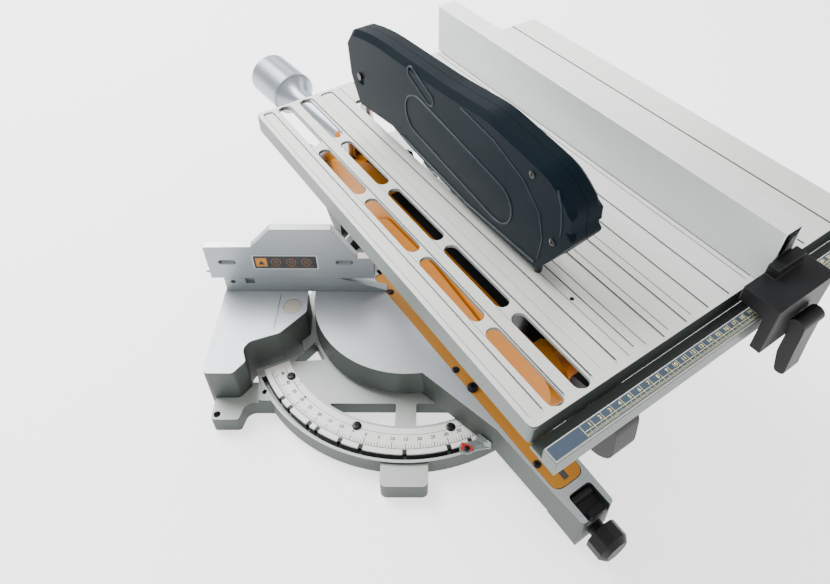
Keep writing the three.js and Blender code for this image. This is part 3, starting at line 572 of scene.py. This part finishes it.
# The lock knob's edges are fine, because with wider ones it met the turntable in its turn.
FINER["mitre_lock_knob"] = (BLACK, "black", 0.2)
FINER["mitre_scale_plate"] = (SCALE, "scale", 0.15, 1)
for node, finish in FINER.items():
    refine(node, *finish)

# ---- upper guard: both halves, with a chamfered crown ----------------------------------------
CROWN_CHAMFER = 5.5
# How squarely a side face looks outward, how far up a crown face looks, and how far outward it may
SIDE_OUT, CROWN_UP, CROWN_OUT = 0.95, 0.2, 0.3


def chamfer_crown(outward):
    """Gives back a function that breaks the crown's long edge on one side with a flat facet."""
    def cut_edges(bm):
        bm.normal_update()
        edges = []
        for edge in bm.edges:
            normals = [face.normal for face in edge.link_faces]
            on_side = [n for n in normals if n.dot(outward) > SIDE_OUT]
            on_crown = [n for n in normals if n.z > CROWN_UP and abs(n.dot(outward)) < CROWN_OUT]
            if on_side and on_crown:
                edges.append(edge)
        bmesh.ops.bevel(bm, geom=edges, offset=CROWN_CHAMFER * MM, offset_type="OFFSET", segments=1,
                        profile=0.5, affect="EDGES", clamp_overlap=False)
    return cut_edges


for node, outward in (("upper_guard_left", -V), ("upper_guard_right", V)):
    refine(node, SMOKED, "smoked", 0.8, 3, angle=30, prepare=chamfer_crown(outward))

# ---- bench table: bands, grooves, a short slit and the pin hole ------------------------------
# Places across the table are measured from its left edge. A band has a shallow floor and a deeper
# line near each of its edges.
TABLE_LEFT = -110
BANDS = ((4.5, 17), (22, 38), (48, 65.5), (74.8, 90.7))
BAND_A, BAND_CORNER, BAND_DEEP = (-123, 331), 5, 1.2
EDGE_A, EDGE_INSET, EDGE_HALF, EDGE_DEEP = (-118.5, 326.5), 0.55, 0.5, 2.4
EDGE_ABOVE = 2.5
# A groove's width, its depth and the a where it starts and ends
FAINT = (1.2, 0.8, -123, 330)
DARK = (2.4, 1.6, -126, 333)
GROOVES = ((101, FAINT), (119.5, FAINT), (136.5, DARK), (144.5, FAINT), (162.5, DARK), (171.3, FAINT),
           (188.6, DARK), (214.5, DARK), (240, FAINT), (246, FAINT), (282, DARK), (318, DARK),
           (362, DARK), (110, (1.4, 1.4, 223, 326)))
PIN_A, PIN_FROM_LEFT, PIN_RADIUS, PIN_DEEP, PIN_STEPS = 264, 104, 2, 4, 16


def table_cut(outline, deep, above=CUT_ABOVE):
    return outline, TABLE_TOP - deep, TABLE_TOP + above, arm_up


table_cuts = []
band_edges = []
for left, right in BANDS:
    first_b, last_b = TABLE_LEFT + left, TABLE_LEFT + right
    table_cuts.append(table_cut(rounded(*BAND_A, first_b, last_b, BAND_CORNER), BAND_DEEP))
    for b in (first_b + EDGE_INSET, last_b - EDGE_INSET):
        band_edges.append(table_cut(rect(*EDGE_A, b - EDGE_HALF, b + EDGE_HALF), EDGE_DEEP, EDGE_ABOVE))
for from_left, (width, deep, first_a, last_a) in GROOVES:
    b = TABLE_LEFT + from_left
    table_cuts.append(table_cut(rect(first_a, last_a, b - width / 2, b + width / 2), deep))
pin_hole = circle(PIN_A, TABLE_LEFT + PIN_FROM_LEFT, PIN_RADIUS, PIN_STEPS)
table_cuts.append(table_cut(pin_hole, PIN_DEEP))
refine("table_top", TABLE, "table", 0.6,
       cutters=[cutter_object("table_cuts", table_cuts), cutter_object("band_edges", band_edges)])

# ---- mitre scale: degree marks, numerals, notches, signs, lines and screws --------------------
# The degree marks are counted from SCALE_SHIFT, and the notches from the middle of the scale.
SCALE_SHIFT, SCALE_END, SCALE_LIMIT = -14.62, 50, 63
MARK_RADIUS, MARK_THICK = 192, 0.08
TEN_LONG, FIVE_LONG, ONE_LONG = 7.5, 6, 4
FIVE_HALF, ONE_HALF = 0.46, 0.3
NUMERAL_RADIUS, NUMERAL_SIZE, NUMERAL_RISE = 180.3, 5.8, 0.05
DETENTS = (-50, -45, -35.3, -31.6, -22.5, -15, 0, 15, 22.5, 31.6, 35.3, 45, 50)
# A detent notch is drawn as a flat black plate on the scale: painted shade for the notch's shadowed walls.
NOTCH_SHADE = rect(-2.6, 2.6, 193.8, 198.6)
NOTCH_THICK = 0.1

scale_marks = bmesh.new()
degree_numerals = []
for degree in range(-SCALE_END, SCALE_END + 1):
    if abs(degree + SCALE_SHIFT) > SCALE_LIMIT:
        continue
    out, along, on_ring = polar_place(degree + SCALE_SHIFT)
    ten, five = degree % 10 == 0, degree % 5 == 0
    long = TEN_LONG if ten else FIVE_LONG if five else ONE_LONG
    half_width = FIVE_HALF if five else ONE_HALF
    mark = rect(-half_width, half_width, MARK_RADIUS - long, MARK_RADIUS)
    add_prism(scale_marks, mark, PLATE_TOP, PLATE_TOP + MARK_THICK, on_ring)
    if five:
        origin = (out * NUMERAL_RADIUS + Z * (PLATE_TOP + NUMERAL_RISE)) * MM
        degree_numerals.append((str(abs(degree)), origin, along, -out))
finish_mesh(scale_marks, "scale_marks", INK, "base")
# The notches are black plates in the ink material, painted shade where the notches' walls lie in shadow.
notches = [(NOTCH_SHADE, PLATE_TOP, PLATE_TOP + NOTCH_THICK, polar_place(degree)[2]) for degree in DETENTS]
solid("scale_notch_shades", notches, INK, "base")
lettering("scale_numerals", degree_numerals, NUMERAL_SIZE, INK, "base", bold=0.2)


def screw_centre(number):
    """The middle of a scale screw's box, and its foot."""
    low, high = box_mm("scale_screw_%d" % number)
    return (low[0] + high[0]) / 2, (low[1] + high[1]) / 2, low[2]


# The signs: a small triangle by the first screw, and two half rounds with a stem.
TRIANGLE = ((5, -7), (13.4, -6.6), (9.6, -14.4))
TRIANGLE_LINE = 0.6
HALF_ROUND = arc(0, 176.2, 2.4, 0, -180, 10)
STEM = rect(-0.25, 0.25, 176, 184)
SIGN_DEGREES = (-44.5, 25.5)
SCALE_SCREW = (5.5, 1.9)
sign_levels = (PLATE_TOP, PLATE_TOP + MARK_THICK)
scale_signs = bmesh.new()
screw_x, screw_y = screw_centre(1)[:2]
corners = [(screw_x + x, screw_y + y) for x, y in TRIANGLE]
for start, end in zip(corners, corners[1:] + corners[:1]):
    add_wall(scale_signs, start, end, TRIANGLE_LINE, *sign_levels)
for degree in SIGN_DEGREES:
    for outline in (HALF_ROUND, STEM):
        add_prism(scale_signs, outline, *sign_levels, polar_place(degree)[2])
finish_mesh(scale_signs, "scale_signs", INK, "base")

# Two lines along the scale. The angle -90 is straight to the front.
LINE_FROM, LINE_TO, LINE_STEPS, LINE_THICK = -152, -28, 62, 0.06
for name, inner_r, outer_r in (("scale_line_outer", 192, 192.7), ("scale_line_inner", 174.4, 174.9)):
    line = band(inner_r, outer_r, LINE_FROM, LINE_TO, LINE_STEPS)
    solid(name, [(line, PLATE_TOP, PLATE_TOP + LINE_THICK, world_up)], INK, "base")
for i in range(1, 5):
    head = screw_head("scale_screw_head_%d" % i, world_up(*screw_centre(i)), Z, *SCALE_SCREW, "base")
    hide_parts("scale_screw_%d" % i)

# ---- screws on the arm: the a and b of each, then its radius and height -----------------------
KERF_SCREW, POINTER_SCREW, ARM_SCREW = (4.6, 1.6), (3.4, 1.6), (6.5, 4.5)
KERF_SCREWS = ((-17, -16.6), (129, -17.3), (273, -15.6), (-17, 16.6), (129, 17.3), (273, 15.6))
for i, (a, b) in enumerate(KERF_SCREWS, 1):
    screw_head("kerf_screw_%d" % i, arm_up(a, b, KERF_TOP), Z, *KERF_SCREW, "turntable")
screw_head("pointer_screw", arm_up(200, -52, POINTER_TOP), Z, *POINTER_SCREW, "turntable")
screw_head("arm_screw", arm_up(160, -15.6, KERF_TOP), Z, *ARM_SCREW, "turntable", "black", BLACK)

# ---- fence plate: a plain dark plate with generic marks, drawn in x and height ----------------
PLATE_INK = (-0.5, -0.38)
RING_HEIGHT, RING_SWEEP, RING_STEPS = 131.5, 359.7, 24
RINGS = ((5.4, 6.2), (1.9, 2.6))
SHORT_LINE_HALF, SHORT_LINE_HEIGHTS = 8.2, (122.8, 123.4)


def fence_marks(name, outlines, depths, mat):
    """Flat shapes between two depths, counted from the left fence's face."""
    levels = [FENCE_FACE + depth for depth in depths]
    solid(name, [(outline, *levels, world_face) for outline in outlines], mat, "left_fence")


def mark_group(x):
    """Two rings, each left open by a hair so that it is one outline, over a short line."""
    rings = [band(inner_r, outer_r, 0, RING_SWEEP, RING_STEPS, (x, RING_HEIGHT))
             for inner_r, outer_r in RINGS]
    return [*rings, rect(x - SHORT_LINE_HALF, x + SHORT_LINE_HALF, *SHORT_LINE_HEIGHTS)]


group_marks = [mark for x in (-165, -146, -127) for mark in mark_group(x)]
fence_marks("fence_plate_rim", [rounded(-194.5, -112.5, 118.6, 143.4, 2)], (-0.25, 0.2), SILVER_INK)
fence_marks("fence_plate", [rounded(-193, -114, 120, 142, 1.5)], (-0.4, -0.2), LABEL)
fence_marks("fence_plate_patch", [rect(-190.5, -176.5, 123.5, 138.5)], PLATE_INK, KERF)
fence_marks("fence_plate_triangle", [[(-187.5, 127), (-179.5, 127), (-183.5, 134.5)]], (-0.6, -0.45),
            INK)
fence_marks("fence_plate_marks", group_marks, PLATE_INK, COPPER_INK)

# ---- front rail: rule marks, one to a millimetre, and numerals in centimetres -----------------
RULE_ZERO, RULE_LENGTH = TABLE_LEFT + 31.5, 360
RULE_BACK, RULE_FRONT = 350.4, 359.8
RULE_LINE = (355.7, 356.1)
TICK_TOP, LINE_TOP = STRIP_TOP + 0.07, STRIP_TOP + 0.09
FIVE_TICK, ONE_TICK = 3.0, 2.0
WHOLE_TICK_HALF, TICK_HALF = 0.16, 0.12
# A numeral stands to the left of its mark, and one of two digits further to the left.
ONE_DIGIT, TWO_DIGITS = 2.4, 3.4
RULE_NUMERAL_A, RULE_NUMERAL_Z, RULE_NUMERAL_SIZE = RULE_BACK + 2.7, STRIP_TOP + 0.04, 4.6

rule_marks = bmesh.new()
rule_numerals = []
for mm in range(RULE_LENGTH + 1):
    b = RULE_ZERO + mm
    whole = mm % 10 == 0
    start = RULE_BACK if whole else RULE_FRONT - (FIVE_TICK if mm % 5 == 0 else ONE_TICK)
    half_width = WHOLE_TICK_HALF if whole else TICK_HALF
    tick = rect(start, RULE_FRONT, b - half_width, b + half_width)
    add_prism(rule_marks, tick, STRIP_TOP, TICK_TOP, arm_up)
    if whole and mm:
        centre = b - (ONE_DIGIT if mm < 100 else TWO_DIGITS)
        rule_numerals.append((str(mm // 10), arm_up(RULE_NUMERAL_A, centre, RULE_NUMERAL_Z), V, -U))
long_line = rect(*RULE_LINE, RULE_ZERO, RULE_ZERO + RULE_LENGTH)
add_prism(rule_marks, long_line, STRIP_TOP, LINE_TOP, arm_up)
finish_mesh(rule_marks, "rule_marks", PALE_INK, "table")
lettering("rule_numerals", rule_numerals, RULE_NUMERAL_SIZE, PALE_INK, "table", bold=0.08)

# ---- upper guard: the ribs and screws on its left face, drawn in a and height -----------------
GUARD_LEFT = -16
GUARD_SCREW = (3.4, 1.4)
# Across a rib: shares of half its width. Its two feet are sunk into the face by RIB_SUNK.
RIB_FOOT, RIB_CREST, RIB_SUNK = 1, 0.55, 0.4


def ridge(name, path, width, proud, closed=False):
    """A raised rib that follows a path."""
    bm = bmesh.new()
    count = len(path)
    section = ((-RIB_FOOT, RIB_SUNK), (-RIB_CREST, -proud), (RIB_CREST, -proud), (RIB_FOOT, RIB_SUNK))
    rows = []
    for i, (u, v) in enumerate(path):
        before = path[(i - 1) % count] if closed or i else path[i]
        after = path[(i + 1) % count] if closed or i < count - 1 else path[i]
        along = Vector((after[0] - before[0], after[1] - before[1])).normalized()
        across = Vector((-along.y, along.x)) * width / 2
        rows.append([bm.verts.new(arm_side(u + across.x * k, v + across.y * k, GUARD_LEFT + w))
                     for k, w in section])
    for i in range(count if closed else count - 1):
        one, two = rows[i], rows[(i + 1) % count]
        for k in range(4):
            n = (k + 1) % 4
            bm.faces.new((one[k], one[n], two[n], two[k]))
    if not closed:
        bm.faces.new(rows[0])
        bm.faces.new(rows[-1][::-1])
    return finish_mesh(bm, name, SMOKED_RIM, "upper_guard")


ridge("guard_panel_rim", racetrack(53, 391, 172, 373, 21), 2.2, 0.8, closed=True)
ridge("guard_boss_rim", racetrack(43, 433, 72, 420, 6), 1.8, 0.7, closed=True)
ridge("guard_arc_seam", [(118, 437), (164, 431), (202, 417), (224, 398), (231, 375), (229, 351)], 1.6, 0.6)
ridge("guard_front_seam", [(239, 432), (245, 420), (248, 405), (249, 392)], 1.6, 0.6)
ridge("guard_lower_flange", [(24, 352), (80, 346.5), (134, 341.5), (226, 344.5)], 4.5, 0.7)
for name, a, height in (("guard_screw_upper", 211, 428), ("guard_screw_lower", 242, 381)):
    screw_head(name, arm_side(a, height, GUARD_LEFT), -V, *GUARD_SCREW, "upper_guard")

# ---- every CAD node gets its material, the replaced ones too ---------------------------------
BY_SLOT = {"cast": CAST, "machined": FENCE, "table": ALLOY, "steel": STEEL, "screw": BLACK_STEEL,
           "amber": AMBER, "kerf": KERF, "black": BLACK, "smoked": SMOKED, "clear": CLEAR, "red": RED,
           "scale": SCALE, "rule": RULE}
SPECIAL = {"guard_pivot_pin": BLACK_STEEL, "clamp_plug_left": PLUG, "clamp_plug_right": PLUG,
           "table_column_3": BLACK_STEEL, "table_column_4": BLACK_STEEL}
for node, thing in frame["nodes"].items():
    thing.data.materials.clear()
    thing.data.materials.append(SPECIAL.get(node) or BY_SLOT[node_slot[node]])
